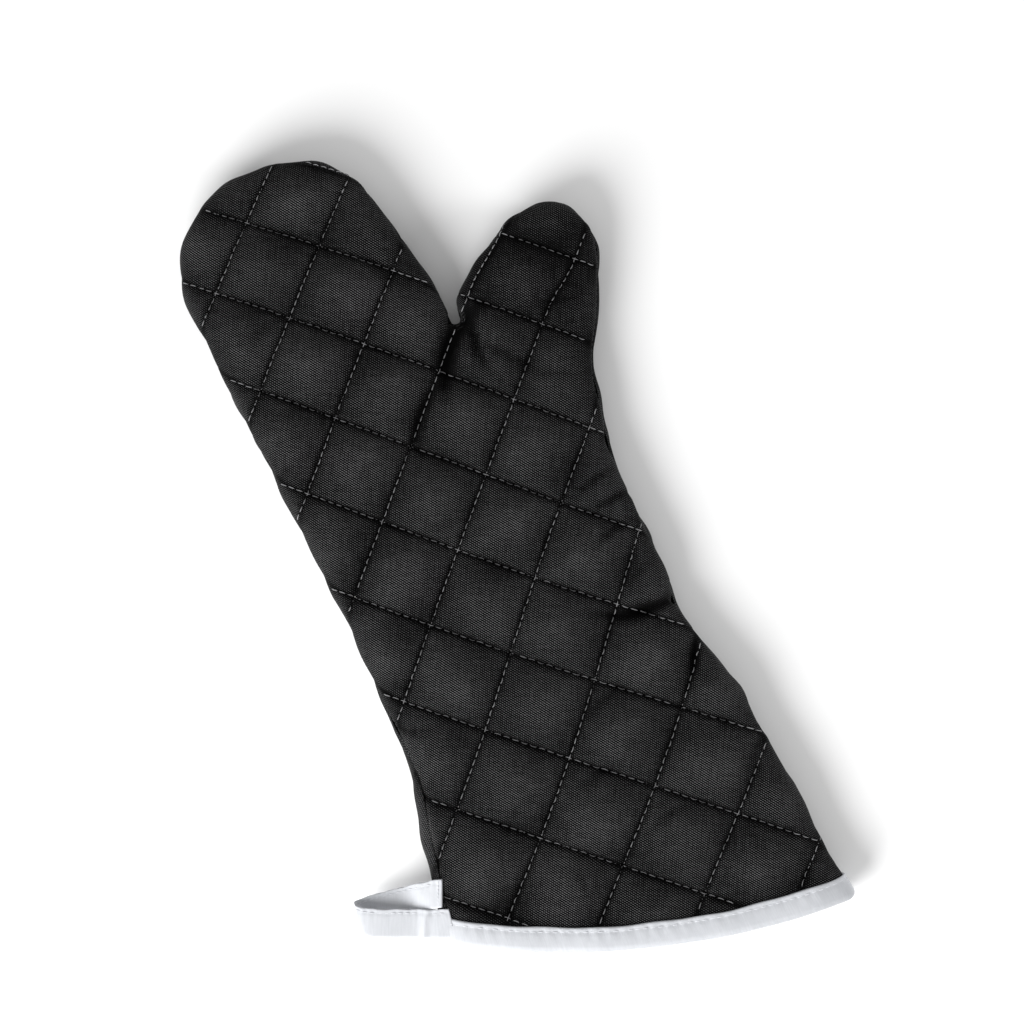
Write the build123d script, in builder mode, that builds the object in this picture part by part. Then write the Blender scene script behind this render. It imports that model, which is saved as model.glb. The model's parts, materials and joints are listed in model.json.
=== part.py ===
from build123d import *
import os
from math import cos, radians, tan

# A quilted gauntlet mitt, lying flat with the palm side of a right hand up.
# +Y runs from the cuff to the fingertips, +X to the thumb side, +Z out of the palm.
# The origin is on the underside, on the cuff's centre line, below the middle of the palm.

os.makedirs("parts", exist_ok=True)

# Layers of one quilted panel, from the outside in
cover_thickness = 1.2
batting_thickness = 5.0
lining_thickness = 1.0
panel_thickness = cover_thickness + batting_thickness + lining_thickness

# The whole mitt lying flat
thickness = 26.0
edge_round = 11.0  # how far the side edges round over
middle = thickness / 2  # height of the seam that joins the two panels

# Outline, seen from above
fingertip_reach = 176.5
finger_left_x = -82.5
finger_right_x = 17.4
fingertip_round_left = 50.0
fingertip_round_right = 45.0
web_x = 35.5  # bottom of the notch between the fingers and the thumb
web_y = 65.0
web_round = 2.0
thumb_tip_reach = 106.8
thumb_tip_x = 113.0
thumb_tip_round = 21.0
thumb_shoulder_x = 79.5  # where the thumb's upper edge levels out
thumb_shoulder_round = 25.0
thumb_root_round = 12.0
thumb_root_step = 4.5  # from the notch across to the thumb's first corner
thumb_root_rise = 15.0
thumb_side_drop = 35.0  # from the thumb's tip down to where its outer side turns in
thumb_side_x = 111.0
thumb_side_round = 50.0
thumb_heel_x = 87.5
thumb_heel_y = 27.0
thumb_heel_round = 80.0
wrist_half_width = 75.0
wrist_top_y = -25.0
wrist_bottom_y = -97.0
wrist_round = 100.0
cuff_turn_x = 83.5  # on the thumb side the cuff flares in two stages
cuff_turn_y = -137.0
cuff_turn_round = 200.0
mouth_half_width = 94.0
mouth_left_y = -194.0
mouth_middle_x = -5.0
mouth_middle_y = -237.0
mouth_right_y = -256.0
overrun = 44.0  # how far the uncut form runs on past the mouth
overrun_round = 20.0
longest_arc_share = 0.98  # of a straight between two corners, for the arcs at its ends

# Folds
wrist_line = -85.0
knuckle_line = 81.0
far = 600.0  # beyond everything, for half spaces

# Quilting
quilt_pitch = 38.1
quilt_centre = (-9.7, 25.8)  # one crossing of the stitch lines
quilt_lines_each_way = 9
stitch_groove_width = 1.6
stitch_groove_depth = 0.8
quilt_thread = 0.6
stitch_free_edge = edge_round + 1.0  # the rows end before the edge rounds over

# Side seam thread, sunk where the two covers meet
seam_thread = 0.6
seam_recess = 0.35

# Binding round the mouth
binding_width = 11.8
binding_thickness = 1.0
binding_step = 1.2  # the covers step in under the tape over this length
mouth_slant = radians(18.0)
binding_rise = binding_width / cos(mouth_slant)
binding_stitch_inset = 2.0
binding_stitch_width = 0.6
binding_stitch_sink = 0.1
binding_stitch_depth = 0.6

# Hanging loop: a tape that leaves the side seam, turns over and comes back one width higher up
loop_tape_width = 12.7
loop_tape_thickness = 1.2
loop_reach = 35.0
loop_eye = 9.0  # height between the two legs at their widest
loop_shift = 11.5  # how far the lower leg lies further from the mouth than the upper leg
loop_angle = 155.5  # direction of the legs in plan, from +X
loop_root_y = -178.0
loop_root_thickness = 0.5  # the tape is pressed flat where it is sewn in
loop_root_clearance = 0.9
tack_thickness = 1.0
tack_height = 3.6


def slope_x(start, end, y):  # where the line through two points reaches y
    return start[0] + (end[0] - start[0]) * (y - start[1]) / (end[1] - start[1])


wrist_left = (-wrist_half_width, wrist_bottom_y)
mouth_left = (-mouth_half_width, mouth_left_y)
mouth_right = (mouth_half_width, mouth_right_y)
cuff_turn = (cuff_turn_x, cuff_turn_y)
form_end_y = mouth_right_y - overrun

# Corner points of the outline with the radius each one is rounded to
outline_corners = [
    (slope_x(wrist_left, mouth_left, form_end_y), form_end_y, overrun_round),
    (wrist_left[0], wrist_left[1], wrist_round),
    (finger_left_x, fingertip_reach, fingertip_round_left),
    (finger_right_x, fingertip_reach, fingertip_round_right),
    (web_x, web_y, web_round),
    (web_x + thumb_root_step, web_y + thumb_root_rise, thumb_root_round),
    (thumb_shoulder_x, thumb_tip_reach, thumb_shoulder_round),
    (thumb_tip_x, thumb_tip_reach, thumb_tip_round),
    (thumb_side_x, thumb_tip_reach - thumb_side_drop, thumb_side_round),
    (thumb_heel_x, thumb_heel_y, thumb_heel_round),
    (wrist_half_width, wrist_top_y, wrist_round),
    (wrist_half_width, wrist_bottom_y, wrist_round),
    (cuff_turn_x, cuff_turn_y, cuff_turn_round),
    (slope_x(cuff_turn, mouth_right, form_end_y), form_end_y, overrun_round),
]


corner_points = [Vector(x, y) for x, y, r in outline_corners]
corner_rounds = [r for x, y, r in outline_corners]
corner_count = len(corner_points)


def run_after(i):  # the straight from one corner to the next
    return corner_points[(i + 1) % corner_count] - corner_points[i]


def tangent_length(i):  # how much of each straight beside it a corner's arc takes up
    turn = run_after(i - 1).get_angle(run_after(i))
    return corner_rounds[i] * tan(radians(turn) / 2)


def room_after(i):  # the share of its arcs' wish that a straight has room for
    wish = tangent_length(i) + tangent_length((i + 1) % corner_count)
    return min(1.0, longest_arc_share * run_after(i).length / wish)


fitted_rounds = [
    corner_rounds[i] * min(room_after(i - 1), room_after(i)) for i in range(corner_count)
]


def outline(inset):
    with BuildSketch() as face:
        with BuildLine():
            FilletPolyline(*corner_points, radius=fitted_rounds, close=True)
        make_face()
        if inset > 0:
            offset(amount=-inset)
    return face.sketch


def form(inset):  # the closed form that lies evenly inside the mitt's outer face
    with BuildPart() as body:
        with BuildSketch(Plane.XY.offset(inset)):
            add(outline(inset))
        extrude(amount=thickness - 2 * inset)
        rims = body.edges().group_by(Axis.Z)
        fillet(rims[0] + rims[-1], radius=edge_round - inset)
    return body.part


def past_mouth(rise):  # everything beyond the mouth's curve, moved up into the cuff by rise
    left = (-mouth_half_width, mouth_left_y + rise)
    right = (mouth_half_width, mouth_right_y + rise)
    with BuildSketch() as face:
        with BuildLine():
            curve = ThreePointArc(left, (mouth_middle_x, mouth_middle_y + rise), right)
            end = curve @ 1 + (curve % 1) * mouth_half_width
            start = curve @ 0 - (curve % 0) * mouth_half_width
            Polyline(curve @ 1, end, (end.X, -far), (start.X, -far), start, curve @ 0)
        make_face()
    return face.sketch


def prism(sketch):  # a flat region stood up through the whole thickness
    with BuildPart() as block:
        with BuildSketch(Plane.XY.offset(-thickness)):
            add(sketch)
        extrude(amount=3 * thickness)
    return block.part


def polygon(*points):
    with BuildSketch() as face:
        with BuildLine():
            Polyline(*points, close=True)
        make_face()
    return face.sketch


# The plan of each body. The thumb folds along a line at 45 degrees through the notch.
web = (web_x, web_y)
thumb_line_end = (web_x + far, web_y - far)
thumb_line_wrist = (web_x + web_y - wrist_line, wrist_line)
plans = {
    "cuff": polygon((-far, -far), (far, -far), (far, wrist_line), (-far, wrist_line)),
    "palm": polygon(
        (-far, wrist_line), thumb_line_wrist, web, (web_x, knuckle_line), (-far, knuckle_line)
    ),
    "fingers": polygon(
        (-far, knuckle_line), (web_x, knuckle_line), (web_x, far), (-far, far)
    ),
    "thumb": polygon(web, thumb_line_end, (far, far), (web_x, far)),
}
regions = {body: prism(plan) for body, plan in plans.items()}

with BuildPart() as upper_half:
    with BuildSketch(Plane.XY.offset(middle)):
        Rectangle(2 * far, 2 * far)
    extrude(amount=thickness)
with BuildPart() as lower_half:
    with BuildSketch(Plane.XY.offset(middle)):
        Rectangle(2 * far, 2 * far)
    extrude(amount=-thickness)
halves = {"front": upper_half.part, "back": lower_half.part}


def shell(outer, inner, cut_rise, zone=None):  # the wall between two insets, open at the mouth
    with BuildPart() as wall:
        add(form(outer))
        add(form(inner), mode=Mode.SUBTRACT)
        add(prism(past_mouth(cut_rise)), mode=Mode.SUBTRACT)
        if zone is not None:
            add(zone, mode=Mode.INTERSECT)
    return wall.part


# Insets of the layers, in the open panel and under the binding, where the tape squeezes them
cover_inner = cover_thickness
batting_inner = cover_inner + batting_thickness
lining_inner = panel_thickness
tucked_cover_outer = binding_thickness
tucked_cover_inner = tucked_cover_outer + cover_thickness
tucked_lining_inner = panel_thickness - binding_thickness
tucked_lining_outer = tucked_lining_inner - lining_thickness

under_step = prism(past_mouth(binding_rise + binding_step))
under_tape = prism(past_mouth(binding_rise))
tape_end = binding_thickness


def layer(open_wall, step_wall, tucked_wall):  # one cloth, from the fingertips to the mouth
    with BuildPart() as cloth:
        add(shell(*open_wall, binding_rise + binding_step))
        add(shell(*step_wall, binding_rise, under_step))
        add(shell(*tucked_wall, tape_end, under_tape))
    return cloth.part


layers = {
    "cover": layer(
        (0, cover_inner), (0, tucked_cover_inner), (tucked_cover_outer, tucked_cover_inner)
    ),
    "batting": layer(
        (cover_inner, batting_inner),
        (tucked_cover_inner, tucked_lining_outer),
        (tucked_cover_inner, tucked_lining_outer),
    ),
    "lining": layer(
        (batting_inner, lining_inner),
        (tucked_lining_outer, lining_inner),
        (tucked_lining_outer, tucked_lining_inner),
    ),
}


def quilt_rows(width):  # both sets of stitch rows as one flat net
    with BuildSketch() as net:
        for turn in (45, -45):
            with Locations(Location(quilt_centre, turn)):
                with GridLocations(0, quilt_pitch, 1, 2 * quilt_lines_each_way + 1):
                    Rectangle(2 * far, width)
        add(outline(stitch_free_edge), mode=Mode.INTERSECT)
        add(past_mouth(binding_rise + binding_step), mode=Mode.SUBTRACT)
    return net.sketch


def seam_line(outer, inner):
    with BuildSketch() as line:
        add(outline(outer))
        add(outline(inner), mode=Mode.SUBTRACT)
        add(past_mouth(binding_rise + binding_step), mode=Mode.SUBTRACT)
    return line.sketch


def binding_row(low, high):
    with BuildSketch() as row:
        add(outline(stitch_free_edge))
        add(past_mouth(high), mode=Mode.INTERSECT)
        add(past_mouth(low), mode=Mode.SUBTRACT)
    return row.sketch


def raised(sketch, low, high):  # a flat region stood up between two heights
    with BuildPart() as block:
        with BuildSketch(Plane.XY.offset(low)):
            add(sketch)
        extrude(amount=high - low)
    return block.part


def both_faces(sketch, sink, depth):  # the same row sunk into the upper and the lower face
    upper = raised(sketch, thickness - sink - depth, thickness - sink)
    lower = raised(sketch, sink, sink + depth)
    return {"front": upper, "back": lower}


grooves = both_faces(quilt_rows(stitch_groove_width), 0, stitch_groove_depth)
thread_sink = stitch_groove_depth - quilt_thread
threads = both_faces(quilt_rows(quilt_thread), thread_sink, quilt_thread)
seam_depth = seam_recess + seam_thread
seam_low = middle - seam_thread / 2
seam_groove = raised(seam_line(0, seam_depth), seam_low, seam_low + seam_thread)
seam = raised(seam_line(seam_recess, seam_depth), seam_low, seam_low + seam_thread)


def save(piece, name):
    piece.label = name
    export_step(piece, f"parts/{name}.step")


# Three layers and the quilting thread of each panel, on each body
for side, half in halves.items():
    for body, region in regions.items():
        for cloth, wall in layers.items():
            with BuildPart() as panel:
                add(wall)
                add(half, mode=Mode.INTERSECT)
                add(region, mode=Mode.INTERSECT)
                if cloth == "cover":
                    add(grooves[side], mode=Mode.SUBTRACT)
                    add(seam_groove, mode=Mode.SUBTRACT)
            save(panel.part, f"{side}_{cloth}_{body}")
        with BuildPart() as quilting:
            add(threads[side])
            add(region, mode=Mode.INTERSECT)
        save(quilting.part, f"{side}_quilting_{body}")

# The seam that joins the two panels round the edge
for body, region in regions.items():
    with BuildPart() as side_seam:
        add(seam)
        add(region, mode=Mode.INTERSECT)
    save(side_seam.part, f"side_seam_{body}")

# The binding folds over the mouth's raw edge: outer leg, inner leg and the fold between them
row_high = binding_rise - binding_stitch_inset
row_low = row_high - binding_stitch_width
stitch_bed = binding_stitch_sink + binding_stitch_depth
binding_beds = both_faces(binding_row(row_low, row_high), 0, stitch_bed)
binding_threads = both_faces(
    binding_row(row_low, row_high), binding_stitch_sink, binding_stitch_depth
)
with BuildPart() as mouth_binding:
    add(shell(0, binding_thickness, 0, under_tape))
    add(shell(tucked_lining_inner, panel_thickness, 0, under_tape))
    add(shell(0, panel_thickness, 0, prism(past_mouth(tape_end))))
    add(binding_beds["front"], mode=Mode.SUBTRACT)
    add(binding_beds["back"], mode=Mode.SUBTRACT)
save(mouth_binding.part, "mouth_binding")

with BuildPart() as binding_stitch:
    add(binding_threads["front"])
    add(binding_threads["back"])
save(binding_stitch.part, "binding_stitch")

# The tape's sewn end, a flat tack on the side seam that the loop hangs from
def edge_point(y):  # on the cuff's straight left edge
    return Vector(slope_x(wrist_left, mouth_left, y), y, middle)


edge_along = (edge_point(0) - edge_point(-1)).normalized()
edge_out = edge_along.rotate(Axis.Z, 90)
loop_half_span = (loop_tape_width + loop_shift) / 2
tack_low = edge_point(loop_root_y) - edge_along * loop_half_span
tack_high = edge_point(loop_root_y) + edge_along * loop_half_span
with BuildPart() as loop_tack:
    with BuildSketch(Plane.XY.offset(middle - tack_height / 2)):
        with BuildLine():
            Polyline(
                (tack_low.X, tack_low.Y),
                (tack_high.X, tack_high.Y),
                ((tack_high + edge_out * tack_thickness).X, (tack_high + edge_out * tack_thickness).Y),
                ((tack_low + edge_out * tack_thickness).X, (tack_low + edge_out * tack_thickness).Y),
                close=True,
            )
        make_face()
    extrude(amount=tack_height)
save(loop_tack.part, "loop_tack")

# The hanging loop: tape sections along its run, lofted from the root round and back to the root
loop_across = Vector(cos(radians(loop_angle - 90)), cos(radians(180 - loop_angle)), 0)
loop_root = edge_point(loop_root_y) + edge_out * (tack_thickness + loop_root_clearance)
eye_half = (loop_eye + loop_tape_thickness) / 2
bend_start = loop_reach - eye_half
bend_side = eye_half * cos(radians(45))
leg_out = 0.45 * bend_start
leg_height = 0.8 * eye_half
root_height = 0.6 * loop_root_thickness
# each section: distance out, height from the middle, place between the upper leg (0) and the
# lower leg (1), the tape's tilt, its thickness, and the direction of its width
loop_run = [
    (0.0, root_height, 0.0, 0.0, loop_root_thickness, edge_along),
    (leg_out, leg_height, 0.0, -9.0, loop_tape_thickness, loop_across),
    (bend_start, eye_half, 0.0, 0.0, loop_tape_thickness, loop_across),
    (bend_start + bend_side, bend_side, 0.25, -45.0, loop_tape_thickness, loop_across),
    (bend_start + eye_half, 0.0, 0.5, -90.0, loop_tape_thickness, loop_across),
    (bend_start + bend_side, -bend_side, 0.75, -135.0, loop_tape_thickness, loop_across),
    (bend_start, -eye_half, 1.0, -180.0, loop_tape_thickness, loop_across),
    (leg_out, -leg_height, 1.0, -171.0, loop_tape_thickness, loop_across),
    (0.0, -root_height, 1.0, -180.0, loop_root_thickness, edge_along),
]
with BuildPart() as hanging_loop:
    for out, height, place, tilt, tape, across in loop_run:
        level_out = across.rotate(Axis.Z, 90)
        centre = loop_root + level_out * out + across * (loop_shift * (place - 0.5))
        centre = centre + Vector(0, 0, height)
        heading = level_out * cos(radians(tilt)) + Vector(0, 0, cos(radians(tilt - 90)))
        with BuildSketch(Plane(origin=centre, x_dir=across, z_dir=heading)):
            Rectangle(loop_tape_width, tape)
    loft(ruled=True)
save(hanging_loop.part, "hanging_loop")
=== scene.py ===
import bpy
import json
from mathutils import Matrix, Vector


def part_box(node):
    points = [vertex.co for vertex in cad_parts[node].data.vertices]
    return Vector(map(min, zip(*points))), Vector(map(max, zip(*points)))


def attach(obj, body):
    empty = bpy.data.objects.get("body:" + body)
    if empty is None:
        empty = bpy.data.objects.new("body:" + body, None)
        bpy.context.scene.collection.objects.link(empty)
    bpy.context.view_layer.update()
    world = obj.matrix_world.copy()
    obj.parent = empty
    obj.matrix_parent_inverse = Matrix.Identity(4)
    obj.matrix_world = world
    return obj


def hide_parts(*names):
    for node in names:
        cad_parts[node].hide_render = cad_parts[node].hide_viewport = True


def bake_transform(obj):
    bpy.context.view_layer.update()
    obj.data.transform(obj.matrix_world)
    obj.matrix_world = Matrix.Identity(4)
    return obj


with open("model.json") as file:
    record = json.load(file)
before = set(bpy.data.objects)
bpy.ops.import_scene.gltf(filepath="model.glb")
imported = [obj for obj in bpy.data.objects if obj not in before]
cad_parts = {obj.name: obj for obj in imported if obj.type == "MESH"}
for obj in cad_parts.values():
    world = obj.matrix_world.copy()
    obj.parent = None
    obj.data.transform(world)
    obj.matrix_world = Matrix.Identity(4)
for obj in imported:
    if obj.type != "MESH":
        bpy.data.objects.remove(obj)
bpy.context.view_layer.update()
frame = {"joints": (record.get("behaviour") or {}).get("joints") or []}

import json
import math

import bpy
import numpy as np
from mathutils import Vector
from mathutils.bvhtree import BVHTree
from mathutils.geometry import delaunay_2d_cdt
from mathutils.kdtree import KDTree

# A quilted gauntlet mitt, lying flat with the palm side up. Each panel is one cloth draped over its
# batting, and cut into pieces where nothing bends.
jointAt = {j["name"]: j for j in frame["joints"]}
mm = 0.001  # every length below is in millimetres, turned into metres as each mesh is made
patternUnit = 100.0  # millimetres of cloth or thread to one unit of its pattern


def nodeBox(node):
    low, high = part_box(node)
    return np.array(low) / mm, np.array(high) / mm


def jointPoint(name):
    return np.array(jointAt[name]["pos_m"]) / mm


def unit(vectors):
    return vectors / np.linalg.norm(vectors, axis=1)[:, None]


def walkedAlong(line):  # distance walked to each point of a line
    return np.concatenate([[0], np.cumsum(np.linalg.norm(np.diff(line, axis=0), axis=1))])


def pointsAt(at, walked, line):
    return np.column_stack([np.interp(at, walked, column) for column in line.T])


fingerLow, fingerHigh = nodeBox("front_cover_fingers")
thumbHigh = nodeBox("front_cover_thumb")[1]
bindingLow, bindingHigh = nodeBox("mouth_binding")
palmTop = nodeBox("front_cover_palm")[1][2]
seamZ = palmTop / 2
webX, webY = jointPoint("thumb_fold")[:2]
knuckleY = jointPoint("knuckle_fold")[1]
wristY = jointPoint("wrist_fold")[1]
print("frame read: mitt", round(palmTop, 1), "mm thick")

mittShape = {
    "fingerLeftX": fingerLow[0] - 0.8,
    "fingertipY": fingerHigh[1],
    "fingerRounds": (48.0, 45.0),
    "fingerRightX": 17.4,
    "thumbTipX": thumbHigh[0] + 0.4,
    "thumbTipY": thumbHigh[1] + 0.2,
    "wristHalf": 74.0,
    "mouthHalf": bindingHigh[0],
    "mouthLeftY": -194.0,
    "mouthMiddle": (-5.0, -237.0),
    "mouthRightY": bindingLow[1],
    "overrunY": bindingLow[1] - 44.0,
    "sideWidth": 12.0,  # plan width of the strip that wraps down to the seam
    "bunching": 1.8,  # how much closer the mesh's rows lie towards the seam
    "shoulderWidth": 22.0,  # the top levels out this far in
    "shoulderPower": 2.4,
    "panelThickness": 7.2,
    "boundThickness": 5.0,  # the panel is pressed thinner under the binding
}


def lineX(a, b, y):
    return a[0] + (b[0] - a[0]) * (y - a[1]) / (b[1] - a[1])


def outlineCorners(s):
    wristLeft = (-s["wristHalf"] + 0.6, -105.0)
    cuffTurn = (86.5, -145.0)
    mouthLeft = (-s["mouthHalf"], s["mouthLeftY"])
    mouthRight = (s["mouthHalf"], s["mouthRightY"])
    low = s["overrunY"]
    return [
        (lineX(wristLeft, mouthLeft, low), low, 20.0),
        (lineX(cuffTurn, mouthRight, low), low, 20.0),
        (cuffTurn[0], cuffTurn[1], 90.0),
        (75.0, -96.0, 30.0),
        (77.3, -62.0, 60.0),
        (75.6, -20.0, 80.0),
        (86.0, 23.5, 60.0),
        (s["thumbTipX"] - 1.1, 70.5, 35.0),
        (s["thumbTipX"], s["thumbTipY"], 22.0),
        (77.0, s["thumbTipY"], 25.0),
        (36.9, 82.0, 13.0),
        (webX + 0.3, webY + 6.2, 0.8),
        (webX - 1.4, webY + 6.2, 0.8),
        (34.0, 86.0, 25.0),
        (s["fingerRightX"], s["fingertipY"], s["fingerRounds"][1]),
        (s["fingerLeftX"], s["fingertipY"], s["fingerRounds"][0]),
        (-78.2, 95.0, 80.0),
        (-s["wristHalf"] + 0.8, -40.0, 150.0),
        (wristLeft[0], wristLeft[1], 60.0),
    ]


def roundedLoop(corners, step):
    # straight runs joined by tangent arcs, then walked off in even steps
    points = []
    count = len(corners)
    for i in range(count):
        here = np.array(corners[i][:2])
        before = np.array(corners[i - 1][:2]) - here
        after = np.array(corners[(i + 1) % count][:2]) - here
        before, after = before / np.linalg.norm(before), after / np.linalg.norm(after)
        half = math.acos(np.clip(before @ after, -1, 1)) / 2
        reach = corners[i][2] / math.tan(half)
        middle = (before + after) / np.linalg.norm(before + after)
        centre = here + middle * corners[i][2] / math.sin(half)
        start, end = here + before * reach - centre, here + after * reach - centre
        a0 = math.atan2(start[1], start[0])
        turn = (math.atan2(end[1], end[0]) - a0 + math.pi) % (2 * math.pi) - math.pi
        for k in range(25):
            a = a0 + turn * k / 24
            points.append(centre + corners[i][2] * np.array([math.cos(a), math.sin(a)]))
    points = np.array(points)
    closed = np.vstack([points, points[:1]])
    runs = np.diff(closed, axis=0)
    lengths = np.linalg.norm(runs, axis=1)
    heading = np.unwrap(np.arctan2(runs[:, 1], runs[:, 0]))
    turns = np.abs(np.diff(np.append(heading, heading[-1])))
    walked = np.concatenate([[0], np.cumsum(lengths + 4.0 * turns)])
    number = int(walked[-1] / step)
    at = np.arange(number) * walked[-1] / number
    return pointsAt(at, walked, closed)


def insideOf(ring, plan):  # crossing test, many points at once
    inside = np.zeros(len(plan), bool)
    for a, b in zip(ring, np.roll(ring, -1, axis=0)):
        spans = (a[1] > plan[:, 1]) != (b[1] > plan[:, 1])
        across = (b[0] - a[0]) * (plan[:, 1] - a[1]) / ((b[1] - a[1]) or 1e-12) + a[0]
        inside ^= spans & (plan[:, 0] < across)
    return inside


class Outline:
    # the side line of the mitt: points, inward normals and the distance to it from anywhere

    def __init__(self, step):
        self.points = roundedLoop(outlineCorners(mittShape), step)
        ahead = unit(np.roll(self.points, -1, axis=0) - self.points)
        ahead = unit(ahead + np.roll(ahead, 1, axis=0))
        self.inward = np.column_stack([-ahead[:, 1], ahead[:, 0]])
        self.count = len(self.points)
        self.tree = KDTree(self.count)
        for i, p in enumerate(self.points):
            self.tree.insert((p[0], p[1], 0), i)
        self.tree.balance()

    def depth(self, plan):
        nearest = np.array([self.tree.find((p[0], p[1], 0))[1] for p in plan])
        best = np.full(len(plan), 1e9)
        for step in (-1, 0):
            a = self.points[(nearest + step) % self.count]
            b = self.points[(nearest + step + 1) % self.count]
            run = b - a
            t = np.clip(((plan - a) * run).sum(1) / (run * run).sum(1), 0, 1)
            best = np.minimum(best, np.linalg.norm(plan - a - run * t[:, None], axis=1))
        side = ((plan - self.points[nearest]) * self.inward[nearest]).sum(1)
        return np.where(side < 0, -best, best)


def circleThrough(a, b, c):
    ax, ay, bx, by, cx, cy = *a, *b, *c
    d = 2 * (ax * (by - cy) + bx * (cy - ay) + cx * (ay - by))
    sa, sb, sc = ax * ax + ay * ay, bx * bx + by * by, cx * cx + cy * cy
    ux = (sa * (by - cy) + sb * (cy - ay) + sc * (ay - by)) / d
    uy = (sa * (cx - bx) + sb * (ax - cx) + sc * (bx - ax)) / d
    return np.array([ux, uy]), math.hypot(ax - ux, ay - uy)


mouthCentre, mouthRadius = circleThrough(
    (-mittShape["mouthHalf"], mittShape["mouthLeftY"]),
    mittShape["mouthMiddle"],
    (mittShape["mouthHalf"], mittShape["mouthRightY"]),
)


def fromMouth(plan):  # distance up into the cuff from the mouth's edge
    return mouthRadius - np.linalg.norm(plan - mouthCentre, axis=-1)


def rowDepth(place):  # plan depth of a place on the side's curve, 0 at the seam and 1 on the flat
    return mittShape["sideWidth"] * np.abs(place) ** mittShape["bunching"]


def smooth(t):
    t = np.clip(t, 0, 1)
    return t * t * (3 - 2 * t)


def halfHeight(depth, full, width):  # rounded shoulder, from the seam up to the flat
    power = mittShape["shoulderPower"]
    t = np.clip(depth, 0, width) / width
    return full * (1 - (1 - t) ** power) ** (1 / power)


quilting = {
    "pitch": 38.1,
    "centre": (-9.7, 25.8),
    "puffDepth": 5.0,
    "puffRound": 0.85,
    "grooveDepth": 1.7,
    "grooveWidth": 1.35,
    "stitchLength": 4.0,
    "dimple": 0.5,
    "pucker": 0.24,
    "edgeFade": 15.0,  # the squares flatten out this near the side
    "unevenness": 0.7,
    "pressedDrop": 2.0,  # the panel's face lies this much lower under the binding
    "pressedRise": (11.0, 19.0),  # and comes up again over this distance from the mouth
    "cellsPerPitch": 30,
    "clustering": 0.6,  # mesh rows gather at the stitch rows
}
diag = quilting["pitch"] / math.sqrt(2)


def spread(flat):  # the cloth's square rows as they lie on this mitt: wider over the cuff's flare
    x, y = flat[:, 0], flat[:, 1]
    t = smooth((-30 - y) / 150) * 1.06
    overThumb = smooth((x + y - 130) / 50) * smooth((x - 30) / 20)
    return np.column_stack([
        x + t * (9.6 + 0.103 * x),
        y + 0.035 * t * y - 0.0005 * np.maximum(y - 50, 0) ** 2 - 5.0 * overThumb,
    ])


def unspread(plan):
    flat = plan.copy()
    for _ in range(6):
        flat += plan - spread(flat)
    return flat


def rowsToFlat(rows):
    return np.column_stack([
        quilting["centre"][0] + diag * (rows[:, 0] + rows[:, 1]),
        quilting["centre"][1] + diag * (rows[:, 1] - rows[:, 0]),
    ])


def flatToRows(flat):
    x = (flat[:, 0] - quilting["centre"][0]) / diag
    y = (flat[:, 1] - quilting["centre"][1]) / diag
    return np.column_stack([(x - y) / 2, (x + y) / 2])


def rowsAt(plan):
    return flatToRows(unspread(plan))


def waves(plan, lengths, height, seed, number=14):  # even, seeded roughness from crossing waves
    draw = np.random.default_rng(seed)
    total = np.zeros(len(plan))
    for _ in range(number):
        angle, phase = draw.uniform(0, 2 * math.pi, 2)
        k = 2 * math.pi / draw.uniform(*lengths)
        total += np.sin(k * (plan[:, 0] * math.cos(angle) + plan[:, 1] * math.sin(angle)) + phase)
    return total * height / math.sqrt(number / 2)


# creases: middle, direction in degrees, half length, half width and depth
frontCreases = [
    (27.0, 61.5, 47.0, 18.0, 3.6, 6.4),
    (2.0, 38.0, 46.0, 17.0, 3.4, 2.4),
    (38.5, 58.0, 82.0, 11.0, 2.6, 3.6),
    (47.0, 50.0, -52.0, 13.0, 3.0, 1.8),
    (62.0, 33.0, -40.0, 15.0, 3.0, 1.3),
    (64.0, -24.0, 10.0, 11.0, 1.8, 2.2),
    (68.0, -36.0, 4.0, 10.0, 1.7, 2.4),
    (60.0, -50.0, 14.0, 12.0, 2.0, 2.0),
    (58.0, -90.5, -6.0, 17.0, 2.8, 4.4),
    (75.0, -92.5, -2.0, 8.0, 2.0, 3.0),
    (73.0, -118.0, 55.0, 9.0, 2.4, 3.4),
    (66.0, -72.0, 20.0, 9.0, 2.2, 0.9),
    (-66.0, -96.0, -30.0, 11.0, 2.4, 1.4),
    (-67.0, 40.0, 18.0, 9.0, 2.2, 1.0),
    (12.0, 108.0, -60.0, 12.0, 2.6, 1.0),
    (84.0, 60.0, -8.0, 12.0, 2.4, 0.9),
    (-52.0, 105.0, 15.0, 10.0, 2.4, 0.8),
    (-30.0, -150.0, 20.0, 10.0, 2.4, 0.8),
    (21.7, -121.5, 20.0, 12.0, 2.2, 1.2),
    (30.5, -183.0, 8.0, 12.0, 2.2, 1.3),
    (80.0, -172.0, 36.0, 10.0, 2.2, 1.6),
    (6.0, -152.0, 6.0, 12.0, 2.2, 1.2),
    (-21.0, -195.0, 96.0, 8.0, 2.0, 1.2),
]
backCreases = [
    (27.0, 61.5, 47.0, 13.0, 3.0, 2.0),
    (60.0, -80.0, 28.0, 14.0, 2.6, 1.4),
    (-60.0, -70.0, -36.0, 12.0, 2.6, 1.2),
    (-40.0, 80.0, 12.0, 14.0, 2.6, 0.9),
]


def creaseDepth(plan, creases):
    total = np.zeros(len(plan))
    for x, y, angle, halfLength, halfWidth, depth in creases:
        c, s = math.cos(math.radians(angle)), math.sin(math.radians(angle))
        along = (plan[:, 0] - x) * c + (plan[:, 1] - y) * s
        across = -(plan[:, 0] - x) * s + (plan[:, 1] - y) * c
        across = across + 0.012 * along**2 * (1 if angle > 0 else -1)
        total += depth * np.exp(-((along / halfLength) ** 2) - (across / halfWidth) ** 2)
    return total


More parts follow.
